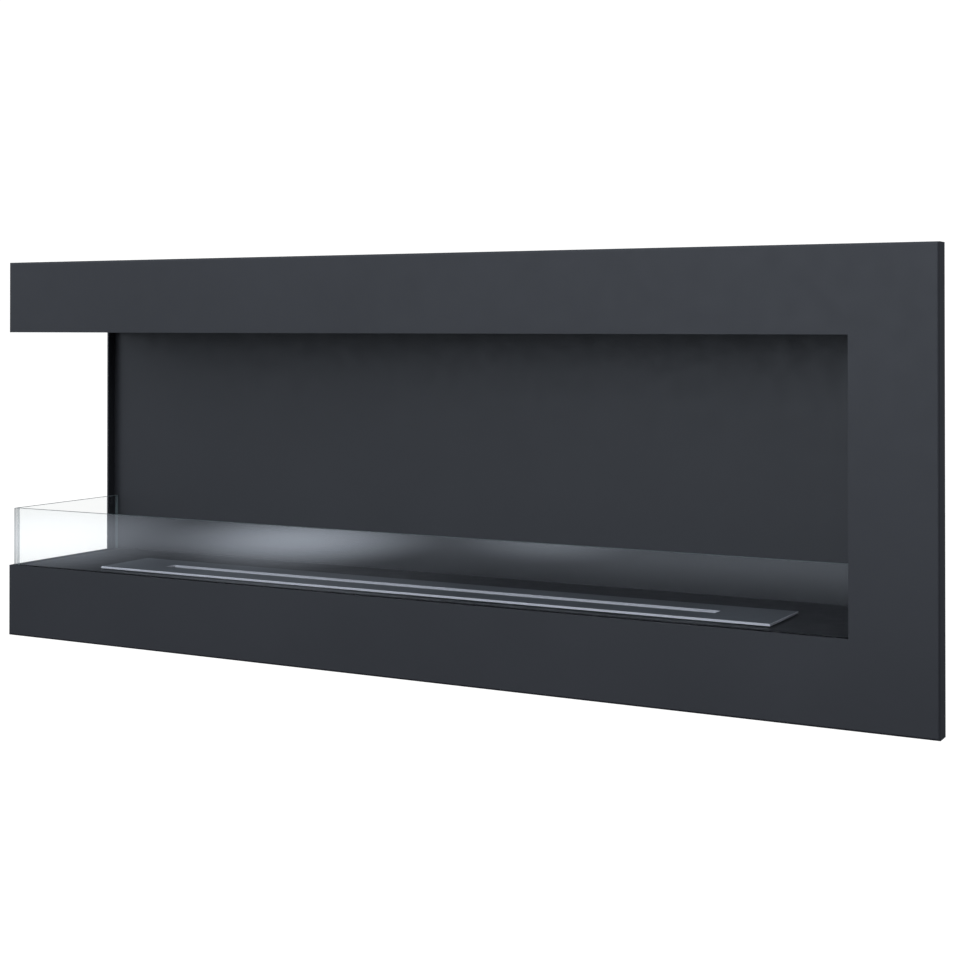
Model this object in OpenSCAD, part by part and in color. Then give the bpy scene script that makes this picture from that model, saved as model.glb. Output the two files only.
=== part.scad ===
// Wall-hung burner fireplace with an open left corner: a folded steel face and side cover around
// a lined firebox, two low glass screens in channels, and a lift-out fuel burner with a shutter.
// All pieces are drawn from the face's lower left corner: X to the right, Y towards the wall,
// Z up. from_corner() then moves the origin to the middle of the bolts that hold it to the wall.

/* [Face] */
// Width of the face
face_w = 1000; // [980:10:1200]
// Height of the face
face_h = 400; // [390:5:440]
// Width of the top band, the bottom band and the right jamb
band = 75; // [75:1:80]
// Depth of the rim folded back round the face
rim = 18; // [16:1:18]
// Thickness of the face's sheet
face_t = 2; // [2:0.5:2]
// Outer radius of the folded edges
bend_r = 2; // [1:0.5:2]

/* [Casing] */
// Distance from the face's front to the wall
depth = 200; // [195:1:240]
// Thickness of the casing's and the lining's sheet
sheet = 1.5; // [1:0.5:1.5]
// Distance from the face's edge to the casing, above and below
casing_inset = 20; // [18:1:22]
// Distance from the face's right edge to the casing
casing_right_inset = 44; // [40:1:44]
// Width of the casing's flanges
flange = 15; // [14:1:16]

/* [Firebox] */
// Distance from the face's front to the firebox's back wall
firebox_depth = 167.5; // [160:0.5:168]
// Depth of the post that the side cover leaves beside the back wall
post_w = 43; // [40:1:50]

/* [Glass] */
// Thickness of the glass
glass_t = 4; // [3:1:4]
// Height of the glass above the bottom band
glass_rise = 61; // [40:1:80]

/* [Burner] */
// Length of the burner's lid
lid_l = 740; // [720:5:760]
// Width of the burner's lid
lid_w = 75; // [74:1:76]
// Thickness of the burner's lid
lid_t = 2; // [2:0.5:3]
// Length of the flame slot
slot_l = 616; // [500:2:620]
// Width of the flame slot
slot_w = 14; // [14:1:16]
// Depth of the fuel tank below the firebox floor
tank_d = 49; // [45:1:49]

/* [Wall mounting] */
// Height of the wall bolts above the face's lower edge
bolt_z = 296; // [290:1:300]
// Distance between the outer wall bolts
bolt_span = 600; // [500:10:700]
// Distance between the inner wall bolts
inner_bolt_span = 200; // [100:10:300]
// Diameter of the wall bolt holes
bolt_d = 9; // [7:0.5:10]

/* [Hidden] */

$fn = 48;
past = 1;       // how far a cut runs past the face that it opens
fit = 0.05;     // radial room of a rivet or screw in its hole

anthracite = [0.22, 0.235, 0.26];
black_steel = [0.11, 0.115, 0.12];
galvanised = [0.62, 0.64, 0.66];
zinc = [0.70, 0.71, 0.72];
stainless = [0.60, 0.62, 0.65];
wool = [0.90, 0.88, 0.82];
board = [0.80, 0.78, 0.72];
silicone = [0.08, 0.08, 0.085];
clear = [0.80, 0.90, 0.90, 0.35];

// Casing
casing_x = [face_t, face_w - casing_right_inset];
casing_y = [casing_inset, depth - 12];
casing_z = [casing_inset, face_h - casing_inset];
inner_x = casing_x[1] - sheet;
inner_y = casing_y[1] - sheet;
inner_z = [casing_z[0] + sheet, casing_z[1] - sheet];
upright_y = firebox_depth + sheet;
upright_w = 16.5;
back_flange = 12;
back_flange_x = [casing_x[0] + upright_w + 0.5, inner_x - back_flange - 1];
clip_screw_r = 2;
// Edges of the panels' left flanges, past the studs of the side cover
low_flange_top = inner_z[0] + 16.5;
high_flange_foot = inner_z[1] - 28.5;

// Firebox lining
floor_top = band;
ceiling_z = face_h - band + 1;
lining_x = face_w - band + 5;
lining_z = [floor_top - flange, ceiling_z + sheet + flange - 0.5];
floor_start = 12;
lining_y = 4;
wall_flange = 13.5;
rear_batt_t = 15;
ceiling_batt_t = 25;
batt_y = [24, firebox_depth - 4];

// Side cover
cover_y = rim + 0.3;
post_y = depth - post_w;
cover_turn = 14;    // how far its upper and lower edges turn in
stud_r = 2;
stud_l = 7;
studs = [
    [60, 30], [140, 30], [60, face_h - 36], [140, face_h - 36], [depth - 22, 130], [depth - 22, 270]
];

// Glass, its channels and seals
glass_z = [42, floor_top + glass_rise];
glass_at = 4;
glass_end = lining_x - 2;
channel_t = 1.2;
channel_at = glass_at - 2;
channel_w = glass_t + 4;
channel_z = [40, floor_top - 0.5];
channel_end = lining_x - 0.5;
seal_t = 0.7;
seal_z = [channel_z[0] + channel_t, floor_top];
corner = channel_at + channel_w + 0.3;
side_end = firebox_depth - 1;

// Burner
burner_x = 480;
burner_y = 22 + lid_w / 2;
tank_l = lid_l - 50;
tank_w = 48;
tank_t = 1.2;
tank_lip = 5;
lid_z = [floor_top + tank_t, floor_top + tank_t + lid_t];
lid_edge = 0.5;
tank_x = [burner_x - tank_l / 2, burner_x + tank_l / 2];
tank_y = [burner_y - tank_w / 2, burner_y + tank_w / 2];
tank_floor = floor_top - tank_d;
tank_room = 2;
well_x = [tank_x[0] - tank_room, tank_x[1] + tank_room];
well_y = [tank_y[0] - tank_room, tank_y[1] + tank_room];
slot_x = [burner_x - slot_l / 2, burner_x + slot_l / 2];
slot_y = [burner_y - slot_w / 2, burner_y + slot_w / 2];
grille_z = tank_floor + 32;
grille_pitch = 16;
grille_hole_r = 3;
grille_row = 6;     // from the burner's middle line to each row of holes
shutter_t = 1.2;
shutter_z = lid_z[0] - 1.5;
shutter_y = slot_y[1] - 0.3 - shutter_t;
shutter_w = 15;
guide_z = shutter_z - 0.3 - tank_t;
guide_w = 10;

// Floor supports
bracket_y = 22;
bracket_w = 40;
rail_y = 96;
rail_x = [20, lining_x - 5];

// Wall mounting
wall_rail_end = 100;
wall_rail_h = 45;
hook_z = bolt_z + 21;
hook_t = 2;
hook_h = 12;
hanger_z = hook_z + hook_t;
hanger_y = casing_y[1];
hanger_bolt_z = 350;
hanger_screw_r = 2.5;
spacer_z = 45;
spacer_r = 10;
spacer_bore_r = 3.5;

rivet_r = 1.6;
panel_rivets_x = [for (i = [0 : 4]) 60 + 210 * i];
side_rivets_z = [110, 200, 290];
lining_rivets_x = [100, 460, 820];
support_rivets_x = [120, 380, 640, 880];
hanger_screws_x = [160, 330, 500, 670, 840];
hanger_spans_x = [[250, 290], [700, 740]];
clips_x = [150, 500, 850];
clips_z = [130, 270];
clip_w = 30;
clip_d = casing_y[0] - face_t;

module from_corner() translate([-face_w / 2, -depth, -bolt_z]) children();

// Box between two planes on each axis
module slab(x, y, z)
    translate([x[0], y[0], z[0]]) cube([x[1] - x[0], y[1] - y[0], z[1] - z[0]]);

// Turn what is drawn along +Z to run along another axis
module along_x() rotate([0, 90, 0]) children();
module along_y() rotate([-90, 0, 0]) children();
module along_minus_y() rotate([90, 0, 0]) children();

// What a rounded edge takes off a square one: a length along +Z, the body towards +X and +Y
module edge_waste(length) difference() {
    translate([-past, -past, -past]) cube([bend_r + past, bend_r + past, length + 2 * past]);
    translate([bend_r, bend_r, -2 * past]) cylinder(r = bend_r, h = length + 4 * past);
}

// Blind rivet: dome below the sheet at z = 0, shank through the grip, upset end above it
module rivet(grip) {
    translate([0, 0, -1.2]) cylinder(r1 = 2.2, r2 = 3.2, h = 1.2);
    cylinder(r = rivet_r, h = grip);
    translate([0, 0, grip]) cylinder(r1 = 2.4, r2 = 1.6, h = 1.4);
}
module rivet_hole(grip) translate([0, 0, -past]) cylinder(r = rivet_r + fit, h = grip + 2 * past);

// Button-head screw: head below z = 0 with a hexagon socket, shank above it
module screw(r, length) {
    difference() {
        translate([0, 0, -r * 1.1]) cylinder(r1 = r * 1.5, r2 = r * 1.9, h = r * 1.1);
        translate([0, 0, -r * 1.1 - past]) cylinder(r = r * 0.7, h = r * 0.6 + past, $fn = 6);
    }
    cylinder(r = r, h = length);
}

// Hexagon nut standing on z = 0
module nut(r, height) difference() {
    cylinder(r = r * 2, h = height, $fn = 6);
    translate([0, 0, -past]) cylinder(r = r + fit, h = height + 2 * past);
}

// ---- Face and side cover ----

// Folded steel face, open to the left, with its rim and its rounded folds
module front_frame() from_corner() color(anthracite) difference() {
    slab([0, face_w], [0, rim], [0, face_h]);
    slab([face_t, face_w - face_t], [face_t, rim + past], [face_t, face_h - face_t]);
    slab([-past, face_w - band], [-past, rim + past], [band, face_h - band]);
    edge_waste(face_h);
    translate([face_w, 0, 0]) mirror([1, 0, 0]) edge_waste(face_h);
    along_x() mirror([1, 0, 0]) edge_waste(face_w);
    translate([0, 0, face_h]) along_x() edge_waste(face_w);
}

// Left side cover: two bands and the rear post, stiffened by turned-in edges and held by studs
module side_cover() from_corner() color(anthracite) {
    run = depth - cover_y;
    difference() {
        union() {
            slab([0, face_t], [cover_y, depth], [0, face_h]);
            for (z = [0, face_h - face_t])
                slab([face_t, cover_turn], [cover_y, depth - 2], [z, z + face_t]);
        }
        slab([-past, face_t + past], [cover_y - past, post_y], [band, face_h - band]);
        translate([0, cover_y, 0]) along_y() mirror([0, 1, 0]) edge_waste(run);
        translate([0, cover_y, face_h]) along_y() edge_waste(run);
    }
    for (s = studs)
        translate([face_t, s[0], s[1]]) along_x() cylinder(r = stud_r, h = stud_l);
}

// Places a child at each clip: local Y runs from the face to the casing, local Z across the clip
module at_clips() {
    for (x = clips_x) {
        translate([x, face_t, inner_z[1]]) mirror([0, 0, 1]) children();
        translate([x, face_t, inner_z[0]]) children();
    }
    for (z = clips_z)
        translate([inner_x, face_t, z]) rotate([0, -90, 0]) children();
}

// Channel-shaped clips welded behind the face, each with a hole for a screw from the casing
module face_clips() from_corner() color(anthracite) at_clips() difference() {
    translate([-clip_w / 2, 0, 0]) cube([clip_w, clip_d, flange]);
    translate([-clip_w / 2 - past, sheet, sheet]) cube([clip_w + 2 * past, clip_d - 2 * sheet, flange]);
    translate([0, clip_d / 2, flange / 2]) along_y() cylinder(r = clip_screw_r + fit, h = clip_d);
}

module face_screws() from_corner() color(zinc) at_clips()
    translate([0, clip_d + sheet, flange / 2]) along_minus_y() screw(clip_screw_r, 8);

module cover_nuts() from_corner() color(zinc) for (s = studs)
    translate([casing_x[0] + sheet, s[0], s[1]]) along_x() nut(stud_r, 3.2);

// ---- Casing ----

module clip_screw_holes() at_clips()
    translate([0, clip_d - past, flange / 2]) along_y()
        cylinder(r = clip_screw_r + fit, h = sheet + 2 * past);

module stud_holes() for (s = studs)
    translate([casing_x[0] - past, s[0], s[1]]) along_x()
        cylinder(r = stud_r + fit, h = sheet + 2 * past);

// Rivet places on the casing's back, drawn from its outer surface towards the front
module at_back_rivets() {
    for (x = panel_rivets_x, z = [inner_z[0] + back_flange / 2, inner_z[1] - back_flange / 2])
        translate([x, casing_y[1], z]) along_minus_y() children();
    for (x = [casing_x[0] + (sheet + upright_w) / 2, inner_x - back_flange / 2], z = side_rivets_z)
        translate([x, casing_y[1], z]) along_minus_y() children();
}

// Rivet places where the ceiling hangers meet the top panel's front flange
module at_hanger_rivets() for (s = hanger_spans_x, x = [s[0] + 10, s[1] - 10])
    translate([x, casing_y[0] - sheet, inner_z[1] - flange / 2]) along_y() children();

module at_support_rivets() for (x = support_rivets_x, y = [bracket_y + 4.2, rail_y + 7])
    translate([x, y, casing_z[0]]) children();

module top_panel() from_corner() color(galvanised) difference() {
    union() {
        slab(casing_x, [casing_y[0], inner_y], [inner_z[1], casing_z[1]]);
        slab([casing_x[0], inner_x - flange - 0.5], [casing_y[0], casing_y[0] + sheet],
            [inner_z[1] - flange, inner_z[1]]);
        slab(back_flange_x, [inner_y - sheet, inner_y], [inner_z[1] - back_flange, inner_z[1]]);
        slab([casing_x[0], casing_x[0] + sheet], [casing_y[0] + sheet, upright_y - 0.5],
            [high_flange_foot, inner_z[1]]);
    }
    clip_screw_holes();
    stud_holes();
    at_back_rivets() rivet_hole(2 * sheet);
    at_hanger_rivets() rivet_hole(2 * sheet);
}

module bottom_panel() from_corner() color(galvanised) difference() {
    union() {
        slab(casing_x, [casing_y[0], inner_y], [casing_z[0], inner_z[0]]);
        slab([casing_x[0], inner_x - flange - 0.5], [casing_y[0], casing_y[0] + sheet],
            [inner_z[0], inner_z[0] + flange]);
        slab(back_flange_x, [inner_y - sheet, inner_y], [inner_z[0], inner_z[0] + back_flange]);
        slab([casing_x[0], casing_x[0] + sheet], [casing_y[0] + sheet, upright_y - 0.5],
            [inner_z[0], low_flange_top]);
    }
    clip_screw_holes();
    stud_holes();
    at_back_rivets() rivet_hole(2 * sheet);
    at_support_rivets() rivet_hole(2 * sheet);
}

module right_panel() from_corner() color(galvanised) difference() {
    union() {
        slab([inner_x, casing_x[1]], [casing_y[0], inner_y], inner_z);
        slab([inner_x - flange, inner_x], [casing_y[0], casing_y[0] + sheet], inner_z);
        slab([inner_x - back_flange, inner_x], [inner_y - sheet, inner_y], inner_z);
    }
    clip_screw_holes();
    at_back_rivets() rivet_hole(2 * sheet);
}

module back_panel() from_corner() color(galvanised) difference() {
    slab(casing_x, [inner_y, casing_y[1]], casing_z);
    at_back_rivets() rivet_hole(2 * sheet);
    at_hanger_screws() translate([0, 0, -sheet]) cylinder(r = hanger_screw_r + fit, h = 6);
    at_spacers() translate([0, 0, -sheet - past]) cylinder(r = spacer_bore_r, h = sheet + 2 * past);
}

// Angle that joins the top and bottom panels behind the post
module rear_upright() from_corner() color(galvanised) difference() {
    union() {
        slab([casing_x[0], casing_x[0] + sheet], [upright_y, inner_y], inner_z);
        slab([casing_x[0] + sheet, casing_x[0] + upright_w], [inner_y - sheet, inner_y], inner_z);
    }
    stud_holes();
    at_back_rivets() rivet_hole(2 * sheet);
}

module casing_rivets() from_corner() color(zinc) {
    at_back_rivets() rivet(2 * sheet);
    at_hanger_rivets() rivet(2 * sheet);
}

// ---- Firebox lining ----

// Rivet places between the lining's turned edges and its back wall
module at_lining_rivets() {
    for (x = lining_rivets_x, z = [floor_top - 8, ceiling_z + 9])
        translate([x, firebox_depth - sheet, z]) along_y() children();
    for (z = clips_z)
        translate([lining_x + (sheet + wall_flange) / 2, firebox_depth - sheet, z]) along_y() children();
}

module firebox_back() from_corner() color(anthracite) difference() {
    slab([casing_x[0], lining_x + flange], [firebox_depth, upright_y], lining_z);
    at_lining_rivets() rivet_hole(2 * sheet);
}

module firebox_ceiling() from_corner() color(anthracite) difference() {
    union() {
        top = [ceiling_z + sheet, lining_z[1]];
        slab([casing_x[0], lining_x], [lining_y, firebox_depth], [ceiling_z, ceiling_z + sheet]);
        slab([casing_x[0], lining_x], [lining_y, lining_y + sheet], top);
        slab([casing_x[0], lining_x], [firebox_depth - sheet, firebox_depth], top);
        slab([casing_x[0], casing_x[0] + sheet], [lining_y + sheet, firebox_depth - sheet], top);
    }
    at_lining_rivets() rivet_hole(2 * sheet);
}

module firebox_right_wall() from_corner() color(anthracite) difference() {
    union() {
        slab([lining_x, lining_x + sheet], [lining_y, firebox_depth], lining_z);
        slab([lining_x + sheet, lining_x + wall_flange], [firebox_depth - sheet, firebox_depth], lining_z);
    }
    at_lining_rivets() rivet_hole(2 * sheet);
}

// Floor with turned-down edges and the well that the burner drops into
module firebox_floor() from_corner() color(anthracite) difference() {
    union() {
        under = [lining_z[0], floor_top - sheet];
        slab([floor_start, lining_x], [floor_start, firebox_depth], [floor_top - sheet, floor_top]);
        slab([floor_start, lining_x], [floor_start, floor_start + sheet], under);
        slab([floor_start, floor_start + sheet], [floor_start + sheet, firebox_depth - sheet], under);
        slab([floor_start, lining_x], [firebox_depth - sheet, firebox_depth], under);
    }
    slab(well_x, well_y, [floor_top - sheet - past, floor_top + past]);
    at_lining_rivets() rivet_hole(2 * sheet);
}

// Angles that hang the ceiling from the top panel's front flange
module ceiling_hangers() from_corner() color(galvanised) difference() {
    for (x = hanger_spans_x) {
        slab(x, [7, casing_y[0] - sheet], [ceiling_z + sheet, ceiling_z + 2 * sheet]);
        slab(x, [casing_y[0] - sheet, casing_y[0]], [ceiling_z + sheet, inner_z[1] - 1]);
    }
    at_hanger_rivets() rivet_hole(2 * sheet);
}

// Folded support between the bottom panel and the floor: web at y, then a shelf and a foot
module floor_support(x, y, shelf_y, foot_y) {
    slab(x, [y, y + sheet], [inner_z[0], floor_top - sheet]);
    slab(x, shelf_y, [floor_top - 2 * sheet, floor_top - sheet]);
    slab(x, foot_y, [inner_z[0], inner_z[0] + sheet]);
}

module front_floor_brackets() from_corner() color(galvanised) difference() {
    for (x = support_rivets_x)
        floor_support([x - bracket_w / 2, x + bracket_w / 2], bracket_y,
            [floor_start + 2, bracket_y], [bracket_y + sheet, bracket_y + 7]);
    at_support_rivets() rivet_hole(2 * sheet);
}

module rear_floor_rail() from_corner() color(galvanised) difference() {
    rear = [rail_y + sheet, rail_y + 13];
    floor_support(rail_x, rail_y, rear, rear);
    at_support_rivets() rivet_hole(2 * sheet);
}

module lining_rivets() from_corner() color(zinc) at_lining_rivets() rivet(2 * sheet);

module support_rivets() from_corner() color(zinc) at_support_rivets() rivet(2 * sheet);

module rear_insulation() from_corner() color(board)
    slab([22, lining_x], [inner_y - rear_batt_t, inner_y], [lining_z[0], ceiling_z + 4]);

module ceiling_insulation() from_corner() color(board)
    slab([20, lining_x - 10], batt_y, [ceiling_z + sheet, ceiling_z + sheet + ceiling_batt_t]);

module right_insulation() from_corner() color(board)
    slab([lining_x + sheet, inner_x - 3], batt_y, [floor_top, ceiling_z - 1]);

// ---- Glass ----

// Channel for a pane, from its first to its last x, with the rear wall from its own start
module glass_u(y, z, wall, x, rear_x) {
    width = channel_w - (y - channel_at) * 2;
    slab(x, [y, y + wall], z);
    slab(rear_x, [y + width - wall, y + width], z);
    slab(x, [y + wall, y + width - wall], [z[0], z[0] + wall]);
}

module front_glass_channel() from_corner() color(black_steel)
    glass_u(channel_at, channel_z, channel_t, [channel_at, channel_end], [corner, channel_end]);

module front_glass_seal() from_corner() color(silicone)
    glass_u(channel_at + channel_t, seal_z, seal_t, [channel_at + channel_t, channel_end],
        [corner, channel_end]);

// The side pane's channel and seal are the front pane's, turned about the corner's diagonal
module across_corner() mirror([1, -1, 0]) children();

module side_glass_channel() from_corner() color(black_steel) across_corner()
    glass_u(channel_at, channel_z, channel_t, [corner, side_end], [corner, side_end]);

module side_glass_seal() from_corner() color(silicone) across_corner()
    glass_u(channel_at + channel_t, seal_z, seal_t, [corner, side_end], [corner, side_end]);

module front_glass() from_corner() color(clear)
    slab([glass_at, glass_end], [glass_at, glass_at + glass_t], glass_z);

module side_glass() from_corner() color(clear)
    slab([glass_at, glass_at + glass_t], [glass_at + glass_t + 0.4, side_end], glass_z);

// ---- Burner ----

// Tray on the bottom panel that catches spilt fuel
module spill_tray() from_corner() color(stainless) {
    x = [burner_x - lid_l / 2 + 2, burner_x + lid_l / 2 - 2];
    y = [bracket_y + 7.5, rail_y - 1];
    difference() {
        slab(x, y, [inner_z[0], inner_z[0] + 10]);
        slab([x[0] + 1, x[1] - 1], [y[0] + 1, y[1] - 1], [inner_z[0] + 1, inner_z[0] + 11]);
    }
}

// Plate with its upper edges bevelled: a lengthwise and a crosswise profile, intersected
module bevelled_plate(l, w, t, c) intersection() {
    rotate([90, 0, 90]) linear_extrude(l)
        polygon([[0, 0], [w, 0], [w, t - c], [w - c, t], [c, t], [0, t - c]]);
    translate([0, w, 0]) rotate([90, 0, 0]) linear_extrude(w)
        polygon([[0, 0], [l, 0], [l, t - c], [l - c, t], [c, t], [0, t - c]]);
}

module burner_lid() from_corner() color(stainless) difference() {
    translate([burner_x - lid_l / 2, burner_y - lid_w / 2, lid_z[0]])
        bevelled_plate(lid_l, lid_w, lid_t, lid_edge);
    slab(slot_x, slot_y, [lid_z[0] - past, lid_z[1] + past]);
}

// Fuel tank: an open box that hangs in the well by a lip turned out under the lid
module burner_tank() from_corner() color(stainless) difference() {
    union() {
        slab(tank_x, tank_y, [tank_floor, lid_z[0]]);
        slab([tank_x[0] - tank_lip, tank_x[1] + tank_lip], [tank_y[0] - tank_lip, tank_y[1] + tank_lip],
            [floor_top, lid_z[0]]);
    }
    slab([tank_x[0] + tank_t, tank_x[1] - tank_t], [tank_y[0] + tank_t, tank_y[1] - tank_t],
        [tank_floor + tank_t, lid_z[0] + past]);
}

module ceramic_wool() from_corner() color(wool)
    slab([tank_x[0] + 2, tank_x[1] - 2], [tank_y[0] + 2, tank_y[1] - 2], [tank_floor + tank_t, grille_z]);

// Perforated sheet that holds the wool down, with two staggered rows of holes
module burner_grille() from_corner() color(stainless) {
    count = floor((tank_l - 40) / grille_pitch);
    start = burner_x - (count - 0.5) * grille_pitch / 2;
    difference() {
        slab([tank_x[0] + 2, tank_x[1] - 2], [tank_y[0] + 2, tank_y[1] - 2], [grille_z, grille_z + 1]);
        for (i = [0 : count - 1], row = [0, 1])
            translate([start + (i + row / 2) * grille_pitch, burner_y + (2 * row - 1) * grille_row,
                grille_z - past]) cylinder(r = grille_hole_r, h = 1 + 2 * past);
    }
}

// Two cradles under the lid that the shutter slides in
module shutter_guides() from_corner() color(stainless)
    for (x = [slot_x[0] - guide_w - 4, slot_x[1] + 4]) {
        span = [x, x + guide_w];
        y = [tank_y[0] + 3.5, tank_y[1] - 1.8];
        slab(span, y, [guide_z, guide_z + tank_t]);
        slab(span, [y[0], y[0] + tank_t], [guide_z + tank_t, lid_z[0]]);
        slab(span, [y[1] - tank_t, y[1]], [guide_z + tank_t, lid_z[0]]);
    }

// Shutter with the upturned lip that a hook pushes along the slot's width
module shutter() from_corner() color(stainless) {
    slab([slot_x[0] - 12, slot_x[1] + 12], [shutter_y, shutter_y + shutter_w],
        [shutter_z, shutter_z + shutter_t]);
    slab([slot_x[0] + 2, slot_x[1] - 2], [shutter_y, shutter_y + shutter_t],
        [shutter_z + shutter_t, lid_z[1] - 0.5]);
}

// ---- Wall mounting ----

module at_wall_bolts() for (span = [bolt_span, inner_bolt_span], side = [-1, 1])
    translate([face_w / 2 + side * span / 2, depth, bolt_z]) along_minus_y() children();

module at_hanger_screws() for (x = hanger_screws_x)
    translate([x, hanger_y + hook_t, hanger_bolt_z]) along_minus_y() children();

module at_spacers() for (side = [-1, 1])
    translate([face_w / 2 + side * bolt_span / 2, hanger_y, spacer_z]) along_y() children();

// Rail bolted to the wall, with an upturned hook along its top
module wall_bracket() from_corner() color(zinc) difference() {
    x = [wall_rail_end, face_w - wall_rail_end];
    lip_y = hanger_y + hook_t;
    union() {
        slab(x, [depth - hook_t, depth], [hook_z - wall_rail_h, hook_z]);
        slab(x, [lip_y, depth], [hook_z, hanger_z]);
        slab(x, [lip_y, lip_y + hook_t], [hanger_z, hanger_z + hook_h]);
    }
    at_wall_bolts() translate([0, 0, -past]) cylinder(r = bolt_d / 2, h = hook_t + 2 * past);
}

// Rail on the casing's back, whose downturned hook sits in the wall rail
module hanger_rail() from_corner() color(zinc) difference() {
    x = [wall_rail_end + 20, face_w - wall_rail_end - 20];
    hook_y = hanger_y + 3 * hook_t;
    hook_top = hanger_z + hook_h + hook_t;
    union() {
        slab(x, [hanger_y, hanger_y + hook_t], [hook_top, hanger_bolt_z + 14]);
        slab(x, [hanger_y + hook_t, hook_y + hook_t], [hook_top, hook_top + hook_t]);
        slab(x, [hook_y, hook_y + hook_t], [hanger_z, hook_top]);
    }
    at_hanger_screws() translate([0, 0, -past]) cylinder(r = hanger_screw_r + fit, h = hook_t + 2 * past);
}

module hanger_screws() from_corner() color(zinc) at_hanger_screws() screw(hanger_screw_r, 9);

module hanger_nuts() from_corner() color(zinc) at_hanger_screws()
    translate([0, 0, hook_t + sheet]) nut(hanger_screw_r, 4);

// Bushes that keep the lower back off the wall, round the lower pair of wall screws
module lower_spacers() from_corner() color(silicone) at_spacers() difference() {
    cylinder(r = spacer_r, h = depth - hanger_y);
    translate([0, 0, -past]) cylinder(r = spacer_bore_r, h = depth - hanger_y + 2 * past);
}

front_frame();
side_cover();
face_clips();
face_screws();
cover_nuts();
top_panel();
bottom_panel();
right_panel();
back_panel();
rear_upright();
casing_rivets();
firebox_back();
firebox_ceiling();
firebox_right_wall();
firebox_floor();
ceiling_hangers();
front_floor_brackets();
rear_floor_rail();
lining_rivets();
support_rivets();
rear_insulation();
ceiling_insulation();
right_insulation();
front_glass_channel();
side_glass_channel();
front_glass_seal();
side_glass_seal();
front_glass();
side_glass();
spill_tray();
burner_lid();
burner_tank();
ceramic_wool();
burner_grille();
shutter_guides();
shutter();
wall_bracket();
hanger_rail();
hanger_screws();
hanger_nuts();
lower_spacers();
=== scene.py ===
"""Looks for a wall-hung burner fireplace: coated steel face and lining, clear glass screens,
a brushed burner, and the plain casing and rails behind."""

import math
import random

import bmesh
import bpy
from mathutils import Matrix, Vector


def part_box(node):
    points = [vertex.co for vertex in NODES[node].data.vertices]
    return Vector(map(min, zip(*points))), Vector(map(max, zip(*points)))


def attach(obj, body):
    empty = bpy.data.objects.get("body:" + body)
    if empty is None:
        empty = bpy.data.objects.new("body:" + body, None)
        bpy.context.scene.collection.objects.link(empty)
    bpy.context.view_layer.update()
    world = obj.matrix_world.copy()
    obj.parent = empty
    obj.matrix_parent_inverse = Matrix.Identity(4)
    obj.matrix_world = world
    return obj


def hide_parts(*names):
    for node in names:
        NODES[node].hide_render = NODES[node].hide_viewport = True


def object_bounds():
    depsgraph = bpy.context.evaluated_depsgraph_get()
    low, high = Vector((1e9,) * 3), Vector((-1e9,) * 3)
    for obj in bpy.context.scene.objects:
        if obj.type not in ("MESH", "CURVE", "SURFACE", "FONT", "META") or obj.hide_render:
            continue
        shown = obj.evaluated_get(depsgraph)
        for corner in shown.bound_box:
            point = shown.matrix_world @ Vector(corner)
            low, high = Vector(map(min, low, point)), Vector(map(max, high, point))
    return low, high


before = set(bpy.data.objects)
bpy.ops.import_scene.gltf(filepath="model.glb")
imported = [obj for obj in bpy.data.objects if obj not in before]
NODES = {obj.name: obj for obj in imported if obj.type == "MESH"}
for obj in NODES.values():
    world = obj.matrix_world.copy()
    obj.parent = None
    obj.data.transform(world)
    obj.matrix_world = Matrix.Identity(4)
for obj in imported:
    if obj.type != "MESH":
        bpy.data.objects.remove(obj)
CAD_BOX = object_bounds()
MM = 0.001

# Camera: where it stands from the middle of the object's box, in metres, and how it looks
CAMERA_FROM_MIDDLE = (0.8523, -1.4909, 0.1325)
CAMERA_YAW = math.radians(28.69)
CAMERA_PITCH = math.radians(0.46)
LENS_MM = 65.12
SENSOR_MM = 36.0
LENS_SHIFT = (-0.0113, -0.1756)


# ---- Node tree helpers ----

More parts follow.
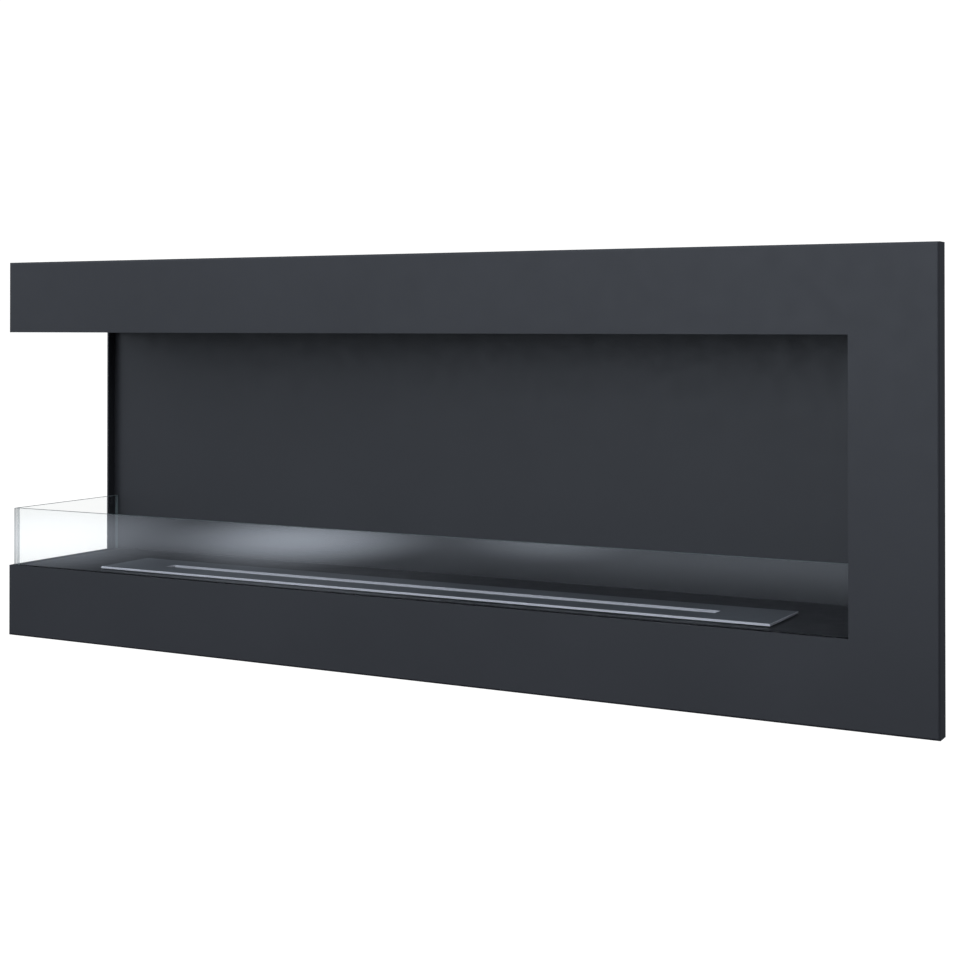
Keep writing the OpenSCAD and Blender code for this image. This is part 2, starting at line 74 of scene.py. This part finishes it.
class Tree:
    """The nodes of a material or a world, with short ways to add and link them."""

    def __init__(self, owner, shader="Principled BSDF"):
        owner.use_nodes = True
        self.owner = owner
        self.nodes = owner.node_tree.nodes
        self.links = owner.node_tree.links
        self.shader = self.nodes[shader]

    def add(self, kind, **values):
        node = self.nodes.new(kind)
        for key, value in values.items():
            setattr(node, key, value)
        return node

    def join(self, start, end):
        self.links.new(start, end)

    def set(self, **sockets):
        """Constants on the shader, with _ for a space in a socket's name."""
        for key, value in sockets.items():
            self.shader.inputs[key.replace("_", " ")].default_value = value

    def place(self, scale=(1.0, 1.0, 1.0)):
        """The point on the object in metres, stretched by scale."""
        coordinates = self.add("ShaderNodeTexCoord")
        mapping = self.add("ShaderNodeMapping")
        mapping.inputs["Scale"].default_value = scale
        self.join(coordinates.outputs["Object"], mapping.inputs["Vector"])
        return mapping.outputs["Vector"]

    def math(self, operation, *values):
        """One arithmetic step; each value is a number or another node's output."""
        node = self.add("ShaderNodeMath", operation=operation)
        for socket, value in zip(node.inputs, values):
            if isinstance(value, (int, float)):
                socket.default_value = value
            else:
                self.join(value, socket)
        return node.outputs["Value"]

    def noise(self, place, scale, detail=2.0, roughness=0.5):
        node = self.add("ShaderNodeTexNoise")
        node.inputs["Scale"].default_value = scale
        node.inputs["Detail"].default_value = detail
        node.inputs["Roughness"].default_value = roughness
        self.join(place, node.inputs["Vector"])
        return node.outputs["Fac"]

    def cells(self, place, scale, output):
        """Voronoi cells; output is the name of the socket that is wanted."""
        node = self.add("ShaderNodeTexVoronoi")
        node.inputs["Scale"].default_value = scale
        self.join(place, node.inputs["Vector"])
        return node.outputs[output]

    def spread(self, value, low, high, start=0.3, stop=0.7):
        """value from start..stop mapped to low..high."""
        node = self.add("ShaderNodeMapRange")
        for key, number in (("From Min", start), ("From Max", stop), ("To Min", low), ("To Max", high)):
            node.inputs[key].default_value = number
        self.join(value, node.inputs["Value"])
        return node.outputs["Result"]

    def ramp(self, value, stops):
        """A colour from stops, a list of (place, colour)."""
        node = self.add("ShaderNodeValToRGB")
        elements = node.color_ramp.elements
        while len(elements) < len(stops):
            elements.new(0.5)
        for element, (place, colour) in zip(elements, stops):
            element.position = place
            element.color = (*colour, 1.0)
        self.join(value, node.inputs["Fac"])
        return node.outputs["Color"]

    def colour(self, socket):
        self.join(socket, self.shader.inputs["Base Color"])

    def rough(self, socket):
        self.join(socket, self.shader.inputs["Roughness"])

    def bump(self, height, depth, strength=1.0, after=None):
        """Bump of depth metres from height; after is an earlier bump that it adds to."""
        node = self.add("ShaderNodeBump")
        node.inputs["Strength"].default_value = strength
        node.inputs["Distance"].default_value = depth
        self.join(height, node.inputs["Height"])
        if after is not None:
            self.join(after, node.inputs["Normal"])
        self.join(node.outputs["Normal"], self.shader.inputs["Normal"])
        return node.outputs["Normal"]


def material_tree(name):
    return Tree(bpy.data.materials.new(name))


def shade(colour, factor):
    return tuple(min(1.0, c * factor) for c in colour)


# ---- Materials ----

def powder_coat(name, colour, roughness, gloss=0.5):
    """Sprayed satin coat: a fine orange peel, faint clouds of tone and a fleck in the pigment."""
    tree = material_tree(name)
    place = tree.place()
    cloud = tree.noise(place, 9.0, 3.0)
    tree.colour(tree.ramp(cloud, [(0.32, shade(colour, 0.94)), (0.68, shade(colour, 1.06))]))
    tree.rough(tree.spread(tree.noise(place, 60.0, 3.0), roughness - 0.03, roughness + 0.03))
    peel = tree.noise(place, 420.0, 2.0, 0.45)
    fine = tree.noise(place, 2400.0, 1.0)
    tree.bump(fine, 0.004 * MM, after=tree.bump(peel, 0.02 * MM))
    tree.set(IOR=1.5, Specular_IOR_Level=gloss)
    return tree.owner


# Brush marks: long along X and fine across it, and their depth in millimetres
BRUSH_GRAIN = (4.0, 900.0, 900.0)
BRUSH_DEPTH = 0.003


def brushed_metal(name, colour, roughness, spread):
    """Metal brushed along its length, with fine lines in tone, gloss and relief."""
    tree = material_tree(name)
    lines = tree.noise(tree.place(BRUSH_GRAIN), 1.0, 3.0, 0.6)
    cloud = tree.noise(tree.place(), 14.0, 3.0)
    tree.colour(tree.ramp(lines, [(0.3, shade(colour, 0.93)), (0.7, shade(colour, 1.07))]))
    tree.rough(tree.spread(cloud, roughness - 0.04, roughness + 0.04))
    tree.bump(lines, BRUSH_DEPTH * MM)
    tree.set(Metallic=1.0)
    along_x(tree, spread)
    return tree.owner


def along_x(tree, spread):
    """Spreads the gloss across brush marks that run along X."""
    tree.set(Anisotropic=spread)
    across = tree.add("ShaderNodeTangent", direction_type="RADIAL", axis="X")
    tree.join(across.outputs["Tangent"], tree.shader.inputs["Tangent"])


def plate_with_painted_edge_highlight(name, flat, bare_edge_and_highlight):
    """Plate with a darkened, brushed skin on its flat faces and pale metal on its sheared sides and
    edge chamfers. The pale part is partly the bare metal of the sheared sides and partly a painted
    highlight along every edge.
    """
    tree = material_tree(name)
    lines = tree.noise(tree.place(BRUSH_GRAIN), 1.0, 3.0, 0.6)
    cloud = tree.noise(tree.place(), 14.0, 3.0)
    facing = tree.add("ShaderNodeSeparateXYZ")
    tree.join(tree.add("ShaderNodeNewGeometry").outputs["True Normal"], facing.inputs[0])
    # level is 1 on flat faces and 0 on the sides and on both facets of the broken edge; where it is 0
    # the pale colour is partly bare metal and partly a painted edge highlight
    level = tree.spread(tree.math("ABSOLUTE", facing.outputs["Z"]), 0.0, 1.0, 0.94, 0.99)
    tone = tree.math("ADD", tree.math("MULTIPLY", level, 0.8), tree.spread(lines, 0.0, 0.2))
    # Pale on the sides and chamfers as bare metal painted paler into an edge highlight, darker on the
    # flats
    tree.colour(tree.ramp(tone, [(0.0, shade(bare_edge_and_highlight, 0.94)), (0.2, shade(bare_edge_and_highlight, 1.06)),
                                 (0.8, shade(flat, 0.92)), (1.0, shade(flat, 1.08))]))
    uneven = tree.spread(cloud, -0.04, 0.04)
    tree.rough(tree.math("ADD", uneven, tree.spread(level, 0.5, 0.36, 0.0, 1.0)))
    tree.bump(lines, BRUSH_DEPTH * MM)
    tree.join(tree.spread(level, 0.3, 1.0, 0.0, 1.0), tree.shader.inputs["Metallic"])
    along_x(tree, 0.8)
    return tree.owner


def galvanised(name):
    """Hot-dip zinc: large dull crystals, each of its own tone and gloss, with fine frost over."""
    tree = material_tree(name)
    place = tree.place()
    crystals = tree.cells(place, 75.0, "Color")
    split = tree.add("ShaderNodeSeparateColor")
    tree.join(crystals, split.inputs["Color"])
    tree.colour(tree.ramp(split.outputs["Red"], [(0.0, (0.40, 0.42, 0.44)), (1.0, (0.60, 0.62, 0.64))]))
    tree.rough(tree.spread(split.outputs["Green"], 0.34, 0.56, 0.0, 1.0))
    frost = tree.noise(place, 900.0, 3.0, 0.6)
    tree.bump(frost, 0.006 * MM)
    tree.set(Metallic=0.6)
    return tree.owner


def zinc_plate(name):
    """Bright passivated plating with a faint cold and warm drift and fine drawing lines."""
    tree = material_tree(name)
    place = tree.place()
    drift = tree.noise(place, 26.0, 2.0)
    tree.colour(tree.ramp(drift, [(0.3, (0.55, 0.58, 0.62)), (0.7, (0.66, 0.65, 0.60))]))
    tree.rough(tree.spread(tree.noise(place, 300.0, 2.0), 0.26, 0.38))
    tree.bump(tree.noise(tree.place((30.0, 1400.0, 1400.0)), 1.0, 2.0), 0.003 * MM)
    tree.set(Metallic=1.0)
    return tree.owner


GLASS_IOR = 1.5
FROST_ROUGHNESS = 0.3
FROST_COVER = 0.6       # how much of a narrow side's look is frost, the rest being clear


def clear_glass(name, tint, broad):
    """Toughened clear glass: clear head on, a mirror edge on, with the slightest draw in it. Its
    narrow sides, which don't face along the axis broad, are ground to a grey frost."""
    tree = material_tree(name)
    facing = tree.add("ShaderNodeSeparateXYZ")
    geometry = tree.add("ShaderNodeNewGeometry")
    tree.join(geometry.outputs["True Normal"], facing.inputs[0])
    side = tree.math("LESS_THAN", tree.math("ABSOLUTE", facing.outputs[broad]), 0.5)
    tree.colour(tree.ramp(side, [(0.0, (1.0, 1.0, 1.0)), (1.0, (0.2, 0.24, 0.235))]))
    tree.rough(tree.math("MULTIPLY", side, FROST_ROUGHNESS))
    tree.join(tree.math("SUBTRACT", 1.0, side), tree.shader.inputs["Metallic"])
    tree.bump(tree.noise(tree.place((3.0, 3.0, 9.0)), 1.0, 1.0), 0.01 * MM, strength=0.4)
    clear = tree.add("ShaderNodeBsdfTransparent")
    clear.inputs["Color"].default_value = (*tint, 1.0)
    fresnel = tree.add("ShaderNodeFresnel")
    fresnel.inputs["IOR"].default_value = GLASS_IOR
    front = tree.math("SUBTRACT", 1.0, geometry.outputs["Backfacing"])
    # The near side mirrors for both sides of the pane
    share = tree.math("MINIMUM", tree.math("MULTIPLY", fresnel.outputs["Fac"],
                                           tree.math("MULTIPLY", front, 2.0)), 1.0)
    share = tree.math("MAXIMUM", share, tree.math("MULTIPLY", side, FROST_COVER))
    blend = tree.add("ShaderNodeMixShader")
    tree.join(share, blend.inputs["Fac"])
    tree.join(clear.outputs["BSDF"], blend.inputs[1])
    tree.join(tree.shader.outputs["BSDF"], blend.inputs[2])
    tree.join(blend.outputs["Shader"], tree.nodes["Material Output"].inputs["Surface"])
    return tree.owner


def ground_glass(name):
    """The broken edge of a pane, ground to a fine grey frost."""
    tree = material_tree(name)
    grain = tree.noise(tree.place(), 1500.0, 2.0)
    tree.colour(tree.ramp(grain, [(0.3, (0.62, 0.68, 0.67)), (0.7, (0.72, 0.78, 0.77))]))
    tree.rough(tree.spread(grain, 0.2, 0.34))
    tree.set(Transmission_Weight=0.85, IOR=GLASS_IOR)
    return tree.owner


def rubbery(name, colour):
    """Moulded silicone or rubber: fine matt grain and a soft sheen."""
    tree = material_tree(name)
    place = tree.place()
    cloud = tree.noise(place, 80.0, 3.0)
    tree.colour(tree.ramp(cloud, [(0.3, shade(colour, 0.8)), (0.7, shade(colour, 1.25))]))
    tree.rough(tree.spread(tree.noise(place, 500.0, 2.0), 0.66, 0.82))
    tree.bump(tree.noise(place, 1800.0, 2.0), 0.02 * MM)
    tree.set(Specular_IOR_Level=0.05)
    return tree.owner


def fibre(name, pale, dark, streak, depth):
    """Matted mineral fibre: streaks that lie along the batt, tufts, and a little sheen."""
    tree = material_tree(name)
    strands = tree.noise(tree.place(streak), 1.0, 5.0, 0.7)
    tufts = tree.noise(tree.place(), 120.0, 4.0, 0.65)
    tree.colour(tree.ramp(strands, [(0.25, dark), (0.5, shade(pale, 0.94)), (0.75, pale)]))
    tree.bump(tufts, depth * MM, after=tree.bump(strands, 0.5 * depth * MM))
    tree.set(Roughness=0.95, Sheen_Weight=0.2)
    return tree.owner


FACE_COAT = powder_coat("face_coat", (0.0298, 0.0298, 0.0327), 0.42)
LINING_COAT = powder_coat("lining_coat", (0.0302, 0.0302, 0.033), 0.37)
# The firebox floor's coat is the lining's coat painted a little paler, as painted light on the floor
FLOOR_COAT_PAINTED_PALER = powder_coat("floor_coat_painted_paler", (0.033, 0.033, 0.036), 0.4)
# The glass channels are painted near black, far darker than the face's coat, as painted shade in the
# deep slot that holds the glass
CHANNEL_COAT_PAINTED_SHADE = powder_coat("channel_coat_painted_shade", (0.006, 0.006, 0.007), 0.6, 0.05)
GALVANISED = galvanised("galvanised_sheet")
ZINC = zinc_plate("zinc_plate")
STAINLESS = brushed_metal("stainless_sheet", (0.58, 0.59, 0.60), 0.34, 0.5)
# The pale second colour of the lid and shutter plate is partly bare metal and partly a painted
# highlight along their edges
LID_STEEL = plate_with_painted_edge_highlight("burner_plate_painted_edge_highlight", (0.30, 0.31, 0.33), (0.80, 0.78, 0.80))
GLASS_TINT = (0.985, 0.99, 0.988)
FRONT_GLASS = clear_glass("front_pane", GLASS_TINT, "Y")
SIDE_GLASS = clear_glass("side_pane", GLASS_TINT, "X")
GROUND_EDGE = ground_glass("ground_edge")
# The seals' silicone is painted near black, darker than black silicone, as painted shade in the slot
# under the glass
SEAL_SILICONE_PAINTED_SHADE = rubbery("black_silicone_painted_shade", (0.006, 0.006, 0.007))
RUBBER = rubbery("black_rubber", (0.028, 0.028, 0.03))
CERAMIC = fibre("ceramic_fibre", (0.86, 0.84, 0.78), (0.60, 0.57, 0.50), (60.0, 700.0, 900.0), 0.5)
MINERAL = fibre("mineral_fibre", (0.60, 0.54, 0.38), (0.30, 0.25, 0.15), (50.0, 500.0, 800.0), 0.6)

COATS = {
    "front_frame": FACE_COAT, "side_cover": FACE_COAT, "face_clips": FACE_COAT,
    "face_screws": ZINC, "cover_nuts": ZINC, "top_panel": GALVANISED, "bottom_panel": GALVANISED,
    "right_panel": GALVANISED, "back_panel": GALVANISED, "rear_upright": GALVANISED,
    "casing_rivets": ZINC, "firebox_back": LINING_COAT, "firebox_ceiling": LINING_COAT,
    "firebox_right_wall": LINING_COAT, "firebox_floor": FLOOR_COAT_PAINTED_PALER, "ceiling_hangers": GALVANISED,
    "front_floor_brackets": GALVANISED, "rear_floor_rail": GALVANISED, "lining_rivets": ZINC,
    "support_rivets": ZINC, "front_glass_channel": CHANNEL_COAT_PAINTED_SHADE, "side_glass_channel": CHANNEL_COAT_PAINTED_SHADE,
    "front_glass_seal": SEAL_SILICONE_PAINTED_SHADE, "side_glass_seal": SEAL_SILICONE_PAINTED_SHADE, "front_glass": FRONT_GLASS,
    "side_glass": SIDE_GLASS, "spill_tray": STAINLESS, "burner_lid": LID_STEEL,
    "burner_tank": STAINLESS, "burner_grille": STAINLESS, "shutter_guides": STAINLESS,
    "shutter": LID_STEEL, "wall_bracket": ZINC, "hanger_rail": ZINC, "hanger_screws": ZINC,
    "hanger_nuts": ZINC, "lower_spacers": RUBBER,
}
# Width of the broken edge on each kind of piece, in millimetres
EDGES = {
    FACE_COAT: 0.35, LINING_COAT: 0.3, FLOOR_COAT_PAINTED_PALER: 0.3, CHANNEL_COAT_PAINTED_SHADE: 0.2, GALVANISED: 0.2, ZINC: 0.2,
    STAINLESS: 0.2, LID_STEEL: 0.2, FRONT_GLASS: 0.5, SIDE_GLASS: 0.5, SEAL_SILICONE_PAINTED_SHADE: 0.15, RUBBER: 0.6,
}


def dress(node, material):
    """Gives a CAD node its material and a narrow broken edge that catches the light."""
    piece = NODES[node]
    piece.data.materials.clear()
    piece.data.materials.append(material)
    bevel = piece.modifiers.new("broken_edge", "BEVEL")
    bevel.width = EDGES[material] * MM
    bevel.segments = 2
    bevel.limit_method = "ANGLE"
    bevel.angle_limit = math.radians(40)
    bevel.harden_normals = True
    if material in (FRONT_GLASS, SIDE_GLASS):
        piece.data.materials.append(GROUND_EDGE)
        bevel.material = 1


def batt(name, node, material, cell, swell, seed):
    """A fibre batt in a CAD block's place: a gridded box with an uneven, slightly torn skin."""
    low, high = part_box(node)
    inset = swell * 1.6
    low = low + Vector((inset, inset, inset))
    high = high - Vector((inset, inset, inset))
    size = high - low
    counts = [max(2, round(s / cell)) for s in size]
    mesh = bmesh.new()
    bmesh.ops.create_cube(mesh, size=1.0)
    for axis in range(3):
        edges = [e for e in mesh.edges
                 if abs((e.verts[0].co - e.verts[1].co).normalized()[axis]) > 0.9]
        bmesh.ops.subdivide_edges(mesh, edges=edges, cuts=counts[axis] - 1, use_grid_fill=True)
    rng = random.Random(seed)
    middle = (low + high) / 2
    for vert in mesh.verts:
        ragged = Vector([rng.uniform(-1.0, 1.0) for _ in range(3)]) * swell
        vert.co = Vector([middle[i] + vert.co[i] * size[i] for i in range(3)]) + ragged
    data = bpy.data.meshes.new(name)
    mesh.to_mesh(data)
    mesh.free()
    piece = bpy.data.objects.new(name, data)
    bpy.context.scene.collection.objects.link(piece)
    data.materials.append(material)
    for face in data.polygons:
        face.use_smooth = True
    return piece


for node_name, coat in COATS.items():
    dress(node_name, coat)

for soft_node, soft_material, soft_slot, body, soft_cell, soft_swell in (
        ("ceramic_wool", CERAMIC, "ceramic_wool", "burner", 0.006, 0.0006),
        ("rear_insulation", MINERAL, "insulation_board", "casing", 0.012, 0.0008),
        ("ceiling_insulation", MINERAL, "insulation_board", "casing", 0.012, 0.0010),
        ("right_insulation", MINERAL, "insulation_board", "casing", 0.010, 0.0008)):
    soft = batt(soft_node + "_batt", soft_node, soft_material, soft_cell, soft_swell, len(soft_node))
    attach(soft, body)
    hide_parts(soft_node)


# ---- Surround, floor and camera ----

# Light from the front and above, by the slope of the direction against the wall's normal: dark
# below the horizon, where a floor would be, then rising to a pale room
SLOPE_RANGE = (-0.2, 0.2)
SLOPE_STOPS = [(0.08, 0.02), (0.0975, 0.08), (0.1175, 0.2), (0.1325, 0.31), (0.15, 0.37),
               (0.3, 0.5), (0.5, 0.7), (1.0, 0.8)]
# How the room's level runs from the front, -Y, to the back, and from the middle up: the level at
# both ends, then the direction's y or z at both ends
FRONT_TO_BACK = (1.0, 0.04, -0.5, 0.45)
MIDDLE_TO_TOP = (1.0, 1.25, 0.2, 1.0)
# Lights give azimuth to the left, elevation, half width and half height in degrees, and strength.
# The key light is a broad one in front
KEY = (8.5, 9.0, 40.0, 26.0, 2.1)
ROOM_TINT = (0.91, 1.0, 1.14)
# The first four lamps are seen in the glass, the others light the right, the back, the top and
# the underside
LAMPS = [(35.2, -7.05, 5.2, 1.0, 2.75), (26.7, -7.0, 3.5, 0.9, 0.95), (43.0, -6.8, 5.5, 1.3, 1.98),
         (36.0, -8.4, 8.0, 1.2, 0.36), (-140.0, 0.0, 50.0, 50.0, 0.22),
         (180.0, 42.0, 45.0, 26.0, 1.3), (0.0, 90.0, 40.0, 40.0, 0.5), (0.0, -90.0, 45.0, 40.0, 0.2)]


def surround(seen):
    """A pale studio all round: white to the eye and through glass, soft light to all else."""
    world = bpy.data.worlds.new("surround")
    tree = Tree(world, "Background")
    direction = tree.add("ShaderNodeTexCoord").outputs["Generated"]
    parts = tree.add("ShaderNodeSeparateXYZ")
    tree.join(direction, parts.inputs[0])
    y, z = parts.outputs["Y"], parts.outputs["Z"]
    slope = tree.math("DIVIDE", z, tree.math("MAXIMUM", tree.math("ABSOLUTE", y), 0.15))
    room = tree.ramp(tree.spread(slope, 0.0, 1.0, *SLOPE_RANGE),
                     [(place, (level, level, level)) for place, level in SLOPE_STOPS])
    level = tree.math("MULTIPLY", tree.spread(y, *FRONT_TO_BACK), tree.spread(z, *MIDDLE_TO_TOP))
    level = tree.math("ADD", level, glow(tree, direction, *KEY))
    level = tree.math("MULTIPLY", room, level)
    for lamp in LAMPS:
        level = tree.math("ADD", level, glow(tree, direction, *lamp))
    tree.join(level, tree.shader.inputs["Strength"])
    tree.shader.inputs["Color"].default_value = (*ROOM_TINT, 1.0)
    white = tree.add("ShaderNodeBackground")
    white.inputs["Color"].default_value = (1.0, 1.0, 1.0, 1.0)
    white.inputs["Strength"].default_value = seen
    blend = tree.add("ShaderNodeMixShader")
    tree.join(seen_directly(tree), blend.inputs["Fac"])
    tree.join(tree.shader.outputs["Background"], blend.inputs[1])
    tree.join(white.outputs["Background"], blend.inputs[2])
    tree.join(blend.outputs["Shader"], tree.nodes["World Output"].inputs["Surface"])
    bpy.context.scene.world = world


def seen_directly(tree):
    """1 for what the eye sees, in the open or through glass, and 0 for what lights or mirrors."""
    paths = tree.add("ShaderNodeLightPath")
    bounced = tree.math("ADD", paths.outputs["Diffuse Depth"], paths.outputs["Glossy Depth"])
    through = tree.math("MULTIPLY", paths.outputs["Is Transmission Ray"],
                        tree.math("LESS_THAN", bounced, 0.5))
    return tree.math("MAXIMUM", paths.outputs["Is Camera Ray"], through)


def glow(tree, direction, left, up, half_width, half_height, strength):
    """A soft ellipse of light round one direction."""
    left, up = math.radians(left), math.radians(up)
    place = tree.add("ShaderNodeMapping", vector_type="TEXTURE")
    place.inputs["Location"].default_value = (-math.sin(left) * math.cos(up),
                                              -math.cos(left) * math.cos(up), math.sin(up))
    place.inputs["Rotation"].default_value = (0.0, 0.0, -left)
    place.inputs["Scale"].default_value = (math.radians(half_width), 1.0, math.radians(half_height))
    tree.join(direction, place.inputs["Vector"])
    ellipse = tree.add("ShaderNodeTexGradient", gradient_type="SPHERICAL")
    tree.join(place.outputs["Vector"], ellipse.inputs["Vector"])
    soft = tree.add("ShaderNodeMapRange", interpolation_type="SMOOTHSTEP")
    soft.inputs["To Max"].default_value = strength
    tree.join(ellipse.outputs["Fac"], soft.inputs["Value"])
    return soft.outputs["Result"]


def floor(drop, size):
    """A plain white floor, drop metres under the object, that neither lights nor mirrors in it."""
    low, high = CAD_BOX
    mesh = bmesh.new()
    bmesh.ops.create_grid(mesh, x_segments=2, y_segments=2, size=size)
    data = bpy.data.meshes.new("floor")
    mesh.to_mesh(data)
    mesh.free()
    piece = bpy.data.objects.new("floor", data)
    piece.location = ((low.x + high.x) / 2, (low.y + high.y) / 2, low.z - drop)
    tree = material_tree("floor_white")
    tree.set(Base_Color=(0.95, 0.95, 0.95, 1.0), Roughness=0.9, Emission_Color=(1.0, 1.0, 1.0, 1.0))
    tree.join(seen_directly(tree), tree.shader.inputs["Emission Strength"])
    data.materials.append(tree.owner)
    piece.visible_diffuse = piece.visible_glossy = piece.visible_shadow = False
    bpy.context.scene.collection.objects.link(piece)


def camera():
    low, high = CAD_BOX
    lens = bpy.data.cameras.new("camera")
    lens.lens = LENS_MM
    lens.sensor_width = SENSOR_MM
    lens.shift_x, lens.shift_y = LENS_SHIFT
    lens.clip_start, lens.clip_end = 0.05, 60.0
    piece = bpy.data.objects.new("camera", lens)
    piece.location = (low + high) / 2 + Vector(CAMERA_FROM_MIDDLE)
    piece.rotation_euler = (math.pi / 2 + CAMERA_PITCH, 0.0, CAMERA_YAW)
    bpy.context.scene.collection.objects.link(piece)
    bpy.context.scene.camera = piece


camera()
surround(seen=1.09)
floor(drop=1.2, size=4.0)
bpy.context.scene.view_settings.view_transform = "Standard"
